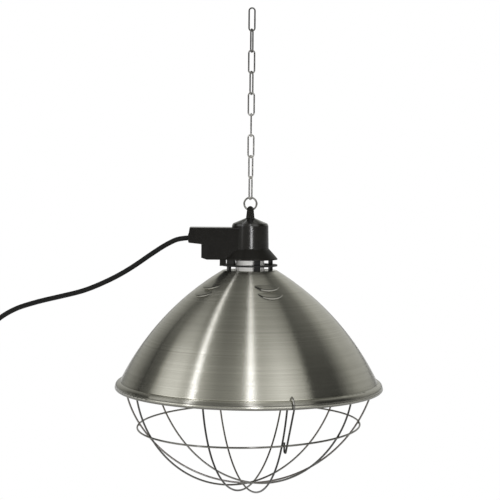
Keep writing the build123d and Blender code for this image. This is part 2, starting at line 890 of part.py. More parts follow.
half_turns = coil_half_turns()
coil_start = half_turns[0][0]
coil_end = half_turns[-1][2]
with BuildPart() as cord_coil:
    with BuildLine() as coil_line:
        Line((coil_start[0] - cord_width, coil_start[1], coil_start[2]), coil_start)
        for start, middle, end in half_turns:
            ThreePointArc(start, middle, end)
        Line(coil_end, (coil_end[0] - cord_width, coil_end[1], coil_end[2]))
    with BuildSketch(start_of(coil_line.wire())):
        Circle(cord_width / 2)
    sweep(path=coil_line.wire())
coil_length = coil_line.wire().length
print("coil length", round(coil_length, 1), "least gap", round(least_gap(coil_line.wire(), 30), 3))
print("volume over section times length", cord_coil.part.volume / (pi * cord_width**2 / 4 * coil_length))
save(cord_coil, "cord_coil")

tail_end_x = coil_centre_x - 72
tail_end_y = coil_centre_y + coil_radius + 10
tail_points = [
    (coil_centre_x - cord_width, coil_centre_y + coil_radius, coil_top_z),
    (coil_centre_x - 26, coil_centre_y + coil_radius, coil_top_z),
    (coil_centre_x - 50, tail_end_y, coil_top_z),
    (tail_end_x, tail_end_y, coil_top_z),
]
save(cord_tube(tail_points), "cord_tail")


# Tie strap round the coil
tie_gap = 0.9
tie_inside = coil_radius - 2 * coil_turns_per_layer * coil_pitch / 2 - cord_width / 2 - tie_gap
tie_outside = coil_radius + cord_width / 2 + tie_gap
tie_height = coil_layer + cord_width + 0.4
coil_section = Plane(origin=(coil_centre_x, coil_centre_y, floor_z), x_dir=(1, 0, 0), z_dir=(0, -1, 0))
with BuildPart() as cord_tie:
    with BuildSketch(coil_section):
        with Locations(((tie_inside + tie_outside) / 2, tie_thick + tie_height / 2)):
            RectangleRounded(tie_outside - tie_inside + 2 * tie_thick, tie_height + 2 * tie_thick, 2.4)
            RectangleRounded(tie_outside - tie_inside, tie_height, 1.4, mode=Mode.SUBTRACT)
    extrude(amount=tie_width / 2, both=True)
save(cord_tie, "cord_tie")


# Plug, lying on the floor beside the coil, its pins pointing to -X
plug_half = coil_top_z - floor_z
plug_back = tail_end_x - plug_sleeve
plug_face = plug_back - plug_length
with BuildPart() as plug_body:
    with BuildSketch(Plane.XY.offset(floor_z)):
        with BuildLine():
            Polyline(
                (plug_back, tail_end_y + 8),
                (plug_back, tail_end_y - 8),
                (plug_back - 14, tail_end_y - plug_width / 2),
                (plug_face, tail_end_y - plug_width / 2),
                (plug_face, tail_end_y + plug_width / 2),
                (plug_back - 14, tail_end_y + plug_width / 2),
                close=True,
            )
        make_face()
        fillet(vertices().group_by(Axis.X)[1], 8)
    extrude(amount=2 * plug_half)
    fillet(edges().group_by(Axis.Z)[-1].filter_by(GeomType.LINE), 3)
    with BuildSketch(Plane.YZ.offset(tail_end_x)):
        with Locations((tail_end_y, coil_top_z)):
            Circle(cord_width / 2 + 1.0)
    with BuildSketch(Plane.YZ.offset(plug_back)):
        with Locations((tail_end_y, coil_top_z)):
            Circle(cord_width / 2 + 2.6)
    loft()
save(plug_body, "plug_body")

pin_places = [(tail_end_y + side * pin_spacing / 2, coil_top_z) for side in (-1, 1)]
with BuildPart() as plug_pins:
    with BuildSketch(Plane.YZ.offset(plug_face)):
        with Locations(*pin_places):
            Circle(pin_width / 2)
    extrude(amount=-pin_length)
    fillet(faces().sort_by(Axis.X)[:2].edges(), 1.6)
save(plug_pins, "plug_pins")
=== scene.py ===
from math import atan2, cos, hypot, pi, radians, sin, sqrt

import bmesh
import bpy
from mathutils import Matrix, Vector


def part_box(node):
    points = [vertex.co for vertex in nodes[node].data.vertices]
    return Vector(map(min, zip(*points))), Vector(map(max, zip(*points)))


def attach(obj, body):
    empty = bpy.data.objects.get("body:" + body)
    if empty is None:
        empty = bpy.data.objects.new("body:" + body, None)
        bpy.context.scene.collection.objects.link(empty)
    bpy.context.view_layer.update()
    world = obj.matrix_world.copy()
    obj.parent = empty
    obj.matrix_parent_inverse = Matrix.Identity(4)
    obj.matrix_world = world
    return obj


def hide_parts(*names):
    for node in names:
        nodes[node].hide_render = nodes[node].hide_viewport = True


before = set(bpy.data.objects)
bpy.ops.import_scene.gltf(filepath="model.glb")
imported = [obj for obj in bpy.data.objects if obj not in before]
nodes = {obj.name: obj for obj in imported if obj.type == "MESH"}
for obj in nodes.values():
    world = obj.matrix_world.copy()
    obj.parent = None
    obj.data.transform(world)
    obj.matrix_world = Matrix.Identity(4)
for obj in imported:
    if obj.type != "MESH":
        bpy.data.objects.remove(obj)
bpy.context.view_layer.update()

# Measures that several pieces share, in metres. The hook bears at the origin, and +Z is up.
RIM = -0.4904  # the height of the shade's widest circle
FLOOR = RIM - 0.2
CORD = 0.0066  # the cord's thickness


# Node helpers
def add_node(tree, kind, inputs=None, **settings):
    """A shader node with its settings and the values of its sockets."""
    node = tree.nodes.new(kind)
    for name, value in settings.items():
        setattr(node, name, value)
    for name, value in (inputs or {}).items():
        node.inputs[name].default_value = value
    return node


def feed(tree, socket, value):
    """Links an output to a socket, or sets the socket to a constant."""
    if isinstance(value, bpy.types.NodeSocket):
        tree.links.new(value, socket)
    else:
        socket.default_value = value


def coordinates(tree, kind="Object"):
    """Texture coordinates split into X, Y and Z; gives the three outputs by name."""
    parts = add_node(tree, "ShaderNodeSeparateXYZ")
    tree.links.new(add_node(tree, "ShaderNodeTexCoord").outputs[kind], parts.inputs[0])
    return parts.outputs


def math_node(tree, operation, *values):
    """A Math node on outputs or numbers; gives its output."""
    node = add_node(tree, "ShaderNodeMath", operation=operation)
    for socket, value in zip(node.inputs, values):
        feed(tree, socket, value)
    return node.outputs[0]


def vector_node(tree, operation, vector, **values):
    """A Vector Math node on one vector, with its values; gives its outputs by name."""
    node = add_node(tree, "ShaderNodeVectorMath", values, operation=operation)
    tree.links.new(vector, node.inputs[0])
    return node.outputs


def join_axes(tree, *values):
    """A vector from the outputs of its axes; an axis that isn't given is 0."""
    node = add_node(tree, "ShaderNodeCombineXYZ")
    for socket, value in zip(node.inputs, values):
        feed(tree, socket, value)
    return node.outputs[0]


def between(tree, value, start, end, smooth=False):
    """How far a value is on its way from a start to an end, from 0 to 1; gives the output."""
    node = add_node(tree, "ShaderNodeMapRange", interpolation_type="SMOOTHSTEP" if smooth else "LINEAR")
    for name, given in (("Value", value), ("From Min", start), ("From Max", end)):
        feed(tree, node.inputs[name], given)
    return node.outputs[0]


def mix_node(tree, factor, first, second, blend="MIX"):
    """A Mix node on two colours, given as outputs or constants; gives its colour."""
    node = add_node(tree, "ShaderNodeMix", data_type="RGBA", blend_type=blend)
    for place, value in ((0, factor), (6, first), (7, second)):
        feed(tree, node.inputs[place], value)
    return node.outputs[2]


def ramp_node(tree, factor, stops):
    """A colour ramp over a factor, from (place, grey or colour) stops; gives its colour."""
    node = tree.nodes.new("ShaderNodeValToRGB")
    elements = node.color_ramp.elements
    while len(elements) < len(stops):
        elements.new(0.5)
    for element, (place, colour) in zip(elements, stops):
        element.position = place
        element.color = (colour, colour, colour, 1) if isinstance(colour, (int, float)) else (*colour, 1)
    tree.links.new(factor, node.inputs["Fac"])
    return node.outputs["Color"]


def new_group(name, inputs, outputs):
    """An empty shader node group with float inputs and outputs; gives its tree, input and output nodes."""
    tree = bpy.data.node_groups.new(name, "ShaderNodeTree")
    for label, value in inputs.items():
        tree.interface.new_socket(label, in_out="INPUT", socket_type="NodeSocketFloat").default_value = value
    for label in outputs:
        tree.interface.new_socket(label, in_out="OUTPUT", socket_type="NodeSocketFloat")
    return tree, tree.nodes.new("NodeGroupInput"), tree.nodes.new("NodeGroupOutput")


def place_group(tree, group, **values):
    """A group placed in a material, with its values; gives its outputs by name."""
    node = tree.nodes.new("ShaderNodeGroup")
    node.node_tree = group
    for label, value in values.items():
        node.inputs[label].default_value = value
    return node.outputs


def new_material(name, **values):
    """A material with a Principled shader; gives the material, its tree and the shader."""
    material = bpy.data.materials.new(name)
    material.use_nodes = True
    tree = material.node_tree
    shader = tree.nodes["Principled BSDF"]
    for label, value in values.items():
        shader.inputs[label.replace("_", " ")].default_value = value
    return material, tree, shader


def bump(tree, height, shader, distance, strength=0.25):
    """Height to the shader's normal."""
    node = add_node(tree, "ShaderNodeBump", {"Strength": strength, "Distance": distance})
    tree.links.new(height, node.inputs["Height"])
    tree.links.new(node.outputs["Normal"], shader.inputs["Normal"])


# Effects that several finishes share
def make_turning_lines():
    """Fine rings round the lamp's axis, as a spinning tool leaves them."""
    tree, given, out = new_group("turning_lines", {"Fineness": 900.0}, ("Height", "Tone"))
    change_along_ring = 2.0
    place = coordinates(tree)
    flat = join_axes(tree, place["X"], place["Y"])
    across_rings = math_node(tree, "SUBTRACT", vector_node(tree, "LENGTH", flat)["Value"], place["Z"])
    around = vector_node(tree, "NORMALIZE", flat)["Vector"]
    turned = add_node(tree, "ShaderNodeSeparateXYZ")
    tree.links.new(vector_node(tree, "SCALE", around, Scale=change_along_ring)["Vector"], turned.inputs[0])
    rings = math_node(tree, "MULTIPLY", across_rings, given.outputs["Fineness"])
    where = join_axes(tree, rings, turned.outputs["X"], turned.outputs["Y"])
    fine = add_node(tree, "ShaderNodeTexNoise", {"Scale": 1.0, "Detail": 5.0, "Roughness": 0.75})
    broad = add_node(tree, "ShaderNodeTexNoise", {"Scale": 0.22, "Detail": 3.0, "Roughness": 0.6})
    for noise, label in ((fine, "Height"), (broad, "Tone")):
        tree.links.new(where, noise.inputs["Vector"])
        tree.links.new(noise.outputs["Fac"], out.inputs[label])
    return tree


def make_handling():
    """Cloudy marks of handling and dulling, from 0 to 1, and the height of a fine grit."""
    tree, given, out = new_group("handling", {"Scale": 60.0, "Sharpness": 0.5}, ("Mask", "Height"))
    cut_off = 0.45  # at full sharpness, the part of the clouds' range that is lost at each end
    grit_fineness = 14.0  # against the clouds
    place = add_node(tree, "ShaderNodeTexCoord").outputs["Object"]
    cloud = add_node(tree, "ShaderNodeTexNoise", {"Detail": 6.0, "Roughness": 0.65})
    grit = add_node(tree, "ShaderNodeTexNoise", {"Detail": 3.0, "Roughness": 0.6})
    tree.links.new(given.outputs["Scale"], cloud.inputs["Scale"])
    tree.links.new(math_node(tree, "MULTIPLY", given.outputs["Scale"], grit_fineness), grit.inputs["Scale"])
    for noise in (cloud, grit):
        tree.links.new(place, noise.inputs["Vector"])
    low = math_node(tree, "MULTIPLY", given.outputs["Sharpness"], cut_off)
    high = math_node(tree, "SUBTRACT", 1.0, low)
    tree.links.new(between(tree, cloud.outputs["Fac"], low, high, smooth=True), out.inputs["Mask"])
    tree.links.new(grit.outputs["Fac"], out.inputs["Height"])
    return tree


turning_lines = make_turning_lines()
handling = make_handling()


def wear(tree, shader, scale, smooth, rough, grain):
    """Roughness that drifts with handling, and a fine grain; gives the mask of the marks."""
    marks = place_group(tree, handling, Scale=scale)
    tree.links.new(ramp_node(tree, marks["Mask"], [(0, smooth), (1, rough)]), shader.inputs["Roughness"])
    bump(tree, marks["Height"], shader, grain)
    return marks["Mask"]


def worn_finish(name, clean, worn, smooth, rough, scale, grain, values):
    """A finish that drifts between two colours and two roughnesses with handling, with a fine grain."""
    material, tree, shader = new_material(name, **values)
    marks = wear(tree, shader, scale, smooth, rough, grain)
    tree.links.new(ramp_node(tree, marks, [(0, clean), (1, worn)]), shader.inputs["Base Color"])
    return material


# The shade: the tones and the roughness of its turned sheet, the painted shade on the louvres' outward faces that face
# downwards, and the height that the louvres stay above.
SHEET_TONES = [(0.3, (0.522, 0.512, 0.45)), (0.7, (0.613, 0.603, 0.535))]
SHEET_ROUGHNESS = [(0.3, 0.19), (0.7, 0.23)]
# Painted shade: a dark colour on the louvres' outward faces that face downwards, standing in for shade in their mouths
LOUVRE_EDGE_SHADE = (0.05, 0.049, 0.045, 1)
LOUVRE_EDGE_SLOPE = 0.2  # a cut edge faces less upwards than this
LOUVRES = RIM + 0.06
# The rolled rim, by height, with painted light and shade. At the front, painted highlights at its edge and its crease
# and painted shade in the hollow between them. Elsewhere painted shade low on the rim and a brighter line at its top.
RIM_BOTTOM, RIM_TOP = RIM - 0.004, RIM + 0.008
RIM_FRONT_PAINTED = [
    (0.15, 0.5), (0.21, 1.3), (0.3, 1.3), (0.37, 0.6), (0.6, 0.6), (0.7, 1.0), (0.76, 1.5), (0.86, 1.5), (0.93, 1.0),
]
RIM_SIDES_PAINTED = [(0.15, 0.5), (0.21, 0.8), (0.9, 0.8), (0.98, 1.0)]
FRONT_ENDS, SIDES_START = -0.142, -0.1  # in Y


def make_spun_aluminium():
    """Spun sheet: rings of fine lines that stretch every highlight up and down the shade, with painted shade on the
    louvres' downward faces and painted light and shade on the rolled rim.
    """
    material, tree, shader = new_material("spun_aluminium", Metallic=1.0, Anisotropic=1.0, Anisotropic_Rotation=0.25)
    lines = place_group(tree, turning_lines, Fineness=2200.0)
    place, facing = coordinates(tree), coordinates(tree, "Normal")
    outward = math_node(
        tree,
        "ADD",
        math_node(tree, "MULTIPLY", facing["X"], place["X"]),
        math_node(tree, "MULTIPLY", facing["Y"], place["Y"]),
    )
    # Painted shade on the louvres: outward faces that face downwards, above the louvres' lowest height, turn dark
    below = math_node(tree, "LESS_THAN", facing["Z"], LOUVRE_EDGE_SLOPE)
    edge = math_node(tree, "MULTIPLY", math_node(tree, "GREATER_THAN", outward, 0.0), below)
    louvre_shade = math_node(tree, "MULTIPLY", edge, math_node(tree, "GREATER_THAN", place["Z"], LOUVRES))
    sheet = mix_node(tree, louvre_shade, ramp_node(tree, lines["Tone"], SHEET_TONES), LOUVRE_EDGE_SHADE)
    # Painted light and shade on the rolled rim, by height, stronger at the front
    rim = between(tree, place["Z"], RIM_BOTTOM, RIM_TOP)
    front, sides = ramp_node(tree, rim, RIM_FRONT_PAINTED), ramp_node(tree, rim, RIM_SIDES_PAINTED)
    painted_rim_light = mix_node(tree, between(tree, place["Y"], FRONT_ENDS, SIDES_START), front, sides)
    tree.links.new(mix_node(tree, 1.0, sheet, painted_rim_light, "MULTIPLY"), shader.inputs["Base Color"])
    tree.links.new(ramp_node(tree, lines["Height"], SHEET_ROUGHNESS), shader.inputs["Roughness"])
    bump(tree, lines["Height"], shader, 0.0003, strength=0.1)
    tangent = add_node(tree, "ShaderNodeTangent", axis="Z", direction_type="RADIAL")
    tree.links.new(tangent.outputs[0], shader.inputs["Tangent"])
    return material


# Plated wire: its tint, its handling marks, and the painted shade that darkens it along one axis
PLATING_TINT = (1.0, 0.985, 0.925)
WORN_PLATING = 0.71  # its brightness against clean plating
DEEPEST_PAINTED_SHADE = 0.2  # the same, where the wire is darkest


def wire_with_painted_shade(name, axis, dark, bright, plating):
    """Plated wire with painted shade: darker at one place along an axis, and at full brightness at another."""
    material, tree, shader = new_material(name, Metallic=1.0)
    marks = wear(tree, shader, 160.0, 0.05, 0.12, 0.00001)
    clean = tuple(plating * tint for tint in PLATING_TINT)
    worn = tuple(shade * WORN_PLATING for shade in clean)
    # Painted shade: the wire darkens along an axis, from full brightness at one place to its deepest shade at another
    along = between(tree, coordinates(tree)[axis], dark, bright)
    shaded = mix_node(
        tree,
        1.0,
        ramp_node(tree, marks, [(0, clean), (1, worn)]),
        ramp_node(tree, along, [(0, DEEPEST_PAINTED_SHADE), (1, 1.0)]),
        "MULTIPLY",
    )
    tree.links.new(shaded, shader.inputs["Base Color"])
    return material


MOULDING_TONES = [(0, (0.0034, 0.003, 0.0022)), (1, (0.0064, 0.0058, 0.0044))]
MOULDING_TOP = 0.25  # above the rim, higher than any moulding
SEAM_FOOT, SEAM_TOP, SEAM_RISE = 0.0003, 0.0001, 4.0  # half widths, and its height in grains


def black_moulding(name, polish, lacquer):
    """Black moulding with a mould seam, whose roughness and gloss coat go by stops of metres above the shade's rim."""
    material, tree, shader = new_material(name, Specular_IOR_Level=0.25, Coat_IOR=1.6, Coat_Roughness=0.2)
    marks = place_group(tree, handling, Scale=90.0)
    place = coordinates(tree)
    height = between(tree, place["Z"], RIM, RIM + MOULDING_TOP)
    coat, smooth = (
        ramp_node(tree, height, [(level / MOULDING_TOP, value) for level, value in stops])
        for stops in (lacquer, polish)
    )
    dulling = math_node(tree, "MULTIPLY", marks["Mask"], 0.03)
    seam = between(tree, math_node(tree, "ABSOLUTE", place["Y"]), SEAM_FOOT, SEAM_TOP)
    raised = math_node(tree, "MULTIPLY", seam, SEAM_RISE)
    tree.links.new(ramp_node(tree, marks["Mask"], MOULDING_TONES), shader.inputs["Base Color"])
    tree.links.new(coat, shader.inputs["Coat Weight"])
    tree.links.new(math_node(tree, "ADD", smooth, dulling), shader.inputs["Roughness"])
    bump(tree, math_node(tree, "ADD", marks["Height"], raised), shader, 0.00003)
    return material


def make_lead_sleeve():
    """Plastic sleeves of the two leads: brown on one side of the lamp, blue on the other."""
    brown, blue = (0.2, 0.09, 0.05), (0.03, 0.08, 0.3)
    material, tree, shader = new_material("lead_sleeve")
    wear(tree, shader, 90.0, 0.35, 0.5, 0.0002)
    side = between(tree, coordinates(tree)["Y"], -0.001, 0.001)
    tree.links.new(ramp_node(tree, side, [(0.45, brown), (0.55, blue)]), shader.inputs["Base Color"])
    return material


def make_bulb_glass():
    """Ruby glass at the face, silvered behind the widest part, with a narrow fade between them."""
    face, waist, silver = (0.33, 0.008, 0.005), (0.27, 0.006, 0.004), (0.07, 0.068, 0.066)
    stated_height, uneven = 0.1, 0.003
    material, tree, shader = new_material("bulb_glass", Coat_Weight=0.6, Coat_Roughness=0.04)
    marks = place_group(tree, handling, Scale=30.0)["Mask"]
    level = math_node(tree, "ADD", coordinates(tree)["Z"], math_node(tree, "MULTIPLY", marks, uneven))
    height = between(tree, level, RIM, RIM + stated_height)
    tree.links.new(ramp_node(tree, height, [(0, face), (0.42, waist), (0.5, silver)]), shader.inputs["Base Color"])
    tree.links.new(ramp_node(tree, marks, [(0, 0.05), (1, 0.1)]), shader.inputs["Roughness"])
    return material


def make_webbing():
    """Woven strap: threads that cross in a fine weave."""
    material, tree, shader = new_material("tie_webbing", Specular_IOR_Level=0.2)
    place = add_node(tree, "ShaderNodeTexCoord").outputs["Object"]
    threads = []
    for axis in ("X", "Y"):
        wave = add_node(tree, "ShaderNodeTexWave", {"Scale": 260.0, "Distortion": 0.4}, bands_direction=axis)
        tree.links.new(place, wave.inputs["Vector"])
        threads.append(wave.outputs["Fac"])
    weave = math_node(tree, "MAXIMUM", *threads)
    tree.links.new(ramp_node(tree, weave, [(0.3, 0.006), (1, 0.022)]), shader.inputs["Base Color"])
    tree.links.new(ramp_node(tree, weave, [(0, 0.9), (1, 0.7)]), shader.inputs["Roughness"])
    bump(tree, weave, shader, 0.0003, strength=0.6)
    return material


# Finishes that drift with handling: the material's name, its clean and worn colours, its clean and worn roughness, how
# fine its marks are, how deep its grain is, and the shader's other values.
METAL = {"Metallic": 1.0}
WORN_FINISHES = {
    "wire": ("plated_wire", (0.36, 0.355, 0.33), (0.24, 0.235, 0.215), 0.05, 0.12, 160.0, 0.00001, METAL),
    "enamel": (
        "black_enamel", (0.005, 0.005, 0.005), (0.011, 0.011, 0.01), 0.3, 0.45, 120.0, 0.0002,
        {"Specular_IOR_Level": 0.4},
    ),
    "porcelain": ("porcelain", (0.95, 0.94, 0.915), (0.91, 0.895, 0.86), 0.12, 0.25, 40.0, 0.0001, {}),
    "brass": ("brass", (0.78, 0.6, 0.3), (0.5, 0.36, 0.17), 0.22, 0.45, 180.0, 0.0002, METAL),
    "steel": ("screw_steel", (0.6, 0.6, 0.6), (0.4, 0.4, 0.4), 0.2, 0.4, 260.0, 0.0002, METAL),
    "rubber": (
        "cord_rubber", (0.003, 0.003, 0.003), (0.006, 0.006, 0.005), 0.36, 0.46, 40.0, 0.00003,
        {"Specular_IOR_Level": 0.25},
    ),
    "plug": ("plug_rubber", (0.012, 0.012, 0.012), (0.026, 0.026, 0.025), 0.45, 0.62, 60.0, 0.0004, {}),
    "clear": ("stem_glass", (0.8, 0.84, 0.82), (0.72, 0.76, 0.74), 0.06, 0.14, 60.0, 0.0001, {}),
    "base": ("base_metal", (0.75, 0.75, 0.73), (0.56, 0.55, 0.52), 0.22, 0.4, 160.0, 0.0002, METAL),
    "solder": ("solder", (0.6, 0.6, 0.58), (0.42, 0.42, 0.4), 0.3, 0.5, 300.0, 0.0003, METAL),
    "tungsten": ("tungsten", (0.3, 0.3, 0.31), (0.2, 0.2, 0.21), 0.3, 0.5, 400.0, 0.0002, METAL),
}
CAP_POLISH = [(0.178, 0.42), (0.18, 0.22), (0.218, 0.1)]
CAP_LACQUER = [(0.179, 0.0), (0.18, 0.45), (0.218, 1.0), (0.219, 0.0)]
HOUSING_POLISH = [(0.16, 0.09), (0.22, 0.08)]
HOUSING_LACQUER = [(0.16, 0.0), (0.22, 0.05)]
finish = {key: worn_finish(*row) for key, row in WORN_FINISHES.items()}
finish["aluminium"] = make_spun_aluminium()
# Wires with painted shade: the chain darker towards its top, the ribs darker at the front, the clip darker below the
# rim
finish["chain"] = wire_with_painted_shade("chain_steel", "Z", -0.02, -0.21, 0.82)
finish["rib"] = wire_with_painted_shade("rib_wire", "Y", -0.11, 0.03, 0.46)
finish["spring"] = wire_with_painted_shade("spring_wire", "Z", RIM - 0.008, RIM + 0.004, 0.46)
finish["cap"] = black_moulding("cap_moulding", CAP_POLISH, CAP_LACQUER)
finish["housing"] = black_moulding("housing_moulding", HOUSING_POLISH, HOUSING_LACQUER)
finish["sleeve"] = make_lead_sleeve()
finish["bulb"] = make_bulb_glass()
finish["webbing"] = make_webbing()

# The finish of every node of the frame
WEARS = {
    "aluminium": ["shade"],
    "chain": ["chain_link_%d" % number for number in range(1, 10)],
    "rib": ["guard_rib_%d" % number for number in range(1, 6)],
    "wire": ["hanging_ring", "guard_side_ring", "guard_top_ring", "guard_rear_hooks"],
    "spring": ["guard_clip"],
    "cap": ["holder_cap"],
    "housing": ["side_housing", "housing_cover", "cord_clamp"],
    "enamel": ["spacer_cage"],
    "porcelain": ["lampholder_insert"],
    "brass": ["screw_shell", "centre_contact", "terminals", "plug_pins"],
    "steel": ["cover_screws", "clamp_screws", "terminal_screws", "shade_screws"],
    "sleeve": ["inner_leads"],
    "rubber": ["cord_grommet"],
    "plug": ["plug_body"],
    "webbing": ["cord_tie"],
    "bulb": ["bulb_glass"],
    "clear": ["bulb_stem"],
    "base": ["bulb_base"],
    "solder": ["bulb_contact"],
    "tungsten": ["bulb_filament"],
}
for key, names in WEARS.items():
    for name in names:
        nodes[name].material_slots[0].material = finish[key]


# Cord: out of the nozzle, down to the floor, back under the lamp into a tied coil
NOZZLE = RIM + 0.193
COIL_X, COIL_Y, COIL_RADIUS = 0.145, -0.019, 0.052
COIL_PITCH, COIL_LAYER = 0.0085, 0.0076
COIL_Z = FLOOR + 0.001 + CORD / 2
COIL_TOP = COIL_Z + COIL_LAYER
COIL_STEPS = 8  # points in half a turn
LAYER_TURNS = 6  # half turns in each of the coil's two layers, with one more between them
PLUG_Y = COIL_Y + COIL_RADIUS + 0.01


def cord_route():
    """The cord's control points, from inside the nozzle to the plug's sleeve."""
    lay = FLOOR + CORD / 2
    route = [
        (-0.0672, 0, NOZZLE),
        (-0.09, 0, NOZZLE),
        (-0.107, 0, RIM + 0.1854),
        (-0.126, 0, RIM + 0.1732),
        (-0.151, 0, RIM + 0.1553),
        (-0.172, 0, RIM + 0.1424),
        (-0.196, 0, RIM + 0.1306),
        (-0.219, 0, RIM + 0.1214),
        (-0.246, 0, RIM + 0.1148),
        (-0.279, 0.001, RIM + 0.107),
        (-0.313, 0.002, RIM + 0.096),
        (-0.344, 0.003, RIM + 0.073),
        (-0.362, 0.003, RIM + 0.031),
        (-0.367, 0.003, RIM - 0.028),
        (-0.366, 0.003, RIM - 0.092),
        (-0.357, 0.003, RIM - 0.147),
        (-0.332, 0.002, RIM - 0.183),
        (-0.292, 0, lay),
        (-0.240, 0.002, lay),
        (-0.178, 0.008, lay),
        (-0.110, 0.004, lay),
        (-0.040, -0.016, lay),
        (0.025, -0.048, lay),
        (COIL_X - 0.060, COIL_Y - COIL_RADIUS, COIL_Z),
        (COIL_X - CORD, COIL_Y - COIL_RADIUS, COIL_Z),
    ]
    for step in range((2 * LAYER_TURNS + 1) * COIL_STEPS + 1):
        turned = step / COIL_STEPS  # half turns from the coil's start
        inward = min(turned, LAYER_TURNS) - max(turned - LAYER_TURNS - 1, 0)
        radius = COIL_RADIUS - inward * COIL_PITCH / 2
        climb = min(max(turned - LAYER_TURNS, 0), 1)
        angle = turned * pi - pi / 2
        route.append((COIL_X + radius * cos(angle), COIL_Y + radius * sin(angle), COIL_Z + climb * COIL_LAYER))
    route += [
        (COIL_X - CORD, COIL_Y + COIL_RADIUS, COIL_TOP),
        (COIL_X - 0.026, COIL_Y + COIL_RADIUS, COIL_TOP),
        (COIL_X - 0.050, PLUG_Y, COIL_TOP),
        (COIL_X - 0.072, PLUG_Y, COIL_TOP),
    ]
    return route


def make_cord():
    """One smooth round cord along its route."""
    curve = bpy.data.curves.new("mains_cord", "CURVE")
    curve.dimensions = "3D"
    curve.bevel_depth = CORD / 2
    curve.bevel_resolution = 5
    curve.resolution_u = 6
    curve.use_fill_caps = True
    spline = curve.splines.new("NURBS")
    route = cord_route()
    spline.points.add(len(route) - 1)
    for point, place in zip(spline.points, route):
        point.co = (*place, 1)
    spline.order_u = 3
    spline.use_endpoint_u = True
    cord = bpy.data.objects.new("mains_cord", curve)
    bpy.context.scene.collection.objects.link(cord)
    cord.data.materials.append(finish["rubber"])
    return cord


cord = make_cord()
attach(cord, "lamp")
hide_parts("cord_lead", "cord_coil", "cord_tail")


# Small pieces, each modelled once and copied to its places
def start_piece(add, **size):
    """A primitive alone in edit mode, ready to be shaped."""
    bpy.ops.object.select_all(action="DESELECT")
    add(**size)
    piece = bpy.context.object
    bpy.ops.object.mode_set(mode="EDIT")
    return piece


def pick_faces(piece, wanted):
    """Selects the faces whose middle and normal pass a test."""
    bpy.ops.mesh.select_mode(type="FACE")
    bpy.ops.mesh.select_all(action="DESELECT")
    mesh = bmesh.from_edit_mesh(piece.data)
    for face in mesh.faces:
        face.select_set(wanted(face.calc_center_median(), face.normal))
    bmesh.update_edit_mesh(piece.data)


def pick_edges(piece, wanted):
    """Selects the edges whose two ends pass a test."""
    bpy.ops.mesh.select_mode(type="EDGE")
    bpy.ops.mesh.select_all(action="DESELECT")
    mesh = bmesh.from_edit_mesh(piece.data)
    for edge in mesh.edges:
        edge.select_set(wanted(edge.verts[0].co) and wanted(edge.verts[1].co))
    bmesh.update_edit_mesh(piece.data)


def set_copies(model, name, places, material, body):
    """Copies of a model at their places, joined to one piece that rides on a body."""
    bpy.ops.object.select_all(action="DESELECT")
    copies = []
    for place in places:
        copy = bpy.data.objects.new(name, model.data.copy())
        copy.data.transform(place)
        bpy.context.scene.collection.objects.link(copy)
        copy.select_set(True)
        copies.append(copy)
    bpy.context.view_layer.objects.active = copies[0]
    if len(copies) > 1:
        bpy.ops.object.join()
    piece = bpy.context.object
    piece.data.materials.append(material)
    bpy.ops.object.shade_smooth_by_angle(angle=radians(40))
    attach(piece, body)
    return piece


def model_screw_head():
    """A pan head with a straight slot, bearing on z 0 and facing +Z."""
    radius, thick, rounding = 0.0028, 0.0016, 0.0009
    slot_half, slot_deep = 0.0004, 0.0007
    head = start_piece(bpy.ops.mesh.primitive_cylinder_add, vertices=32, radius=radius, depth=thick)
    bpy.ops.transform.translate(value=(0, 0, thick / 2))
    pick_edges(head, lambda end: end.z > thick * 0.9)
    bpy.ops.mesh.bevel(offset=rounding, segments=4)
    for side in (-1, 1):
        bpy.ops.mesh.select_all(action="SELECT")
        bpy.ops.mesh.bisect(plane_co=(side * slot_half, 0, 0), plane_no=(1, 0, 0))
    pick_faces(head, lambda middle, normal: abs(middle.x) < slot_half and normal.z > 0.5)
    bpy.ops.mesh.extrude_region_move(TRANSFORM_OT_translate={"value": (0, 0, -slot_deep)})
    bpy.ops.object.mode_set(mode="OBJECT")
    return head


def model_weld():
    """A squashed weld nugget, long along X, with a shallow dent above and below."""
    weld = start_piece(bpy.ops.mesh.primitive_uv_sphere_add, segments=14, ring_count=8, radius=0.0018)
    bpy.ops.transform.resize(value=(1.25, 0.75, 0.85))
    pick_faces(weld, lambda middle, normal: abs(normal.z) > 0.7)
    bpy.ops.mesh.inset(thickness=0.0002)
    bpy.ops.transform.resize(value=(0.85, 0.85, 0.75))
    bpy.ops.object.mode_set(mode="OBJECT")
    return weld


def model_butt_weld():
    """A collar round a wire along Z, with a raised line where its two ends met."""
    half_length, rounding, line_half = 0.0013, 0.0004, 0.0002
    collar = start_piece(bpy.ops.mesh.primitive_cylinder_add, vertices=18, radius=0.0011, depth=2 * half_length)
    pick_edges(collar, lambda end: abs(end.z) > half_length - 0.0001)
    bpy.ops.mesh.bevel(offset=rounding, segments=3)
    bpy.ops.mesh.select_all(action="SELECT")
    bpy.ops.mesh.subdivide(number_cuts=1)
    for height in (-line_half, 0.0, line_half):
        bpy.ops.mesh.select_all(action="SELECT")
        bpy.ops.mesh.bisect(plane_co=(0, 0, height), plane_no=(0, 0, 1))
    pick_edges(collar, lambda end: abs(end.z) < line_half / 4)
    bpy.ops.transform.resize(value=(1.1, 1.1, 1))
    bpy.ops.object.mode_set(mode="OBJECT")
    return collar


def model_grip_bar():
    """A rounded bar along Y, for the plug's grip."""
    bar = start_piece(bpy.ops.mesh.primitive_cube_add, size=1)
    bpy.ops.transform.resize(value=(0.0018, 0.026, 0.0016))
    pick_edges(bar, lambda end: end.z > 0)
    bpy.ops.mesh.bevel(offset=0.0008, segments=4)
    bpy.ops.object.mode_set(mode="OBJECT")
    return bar


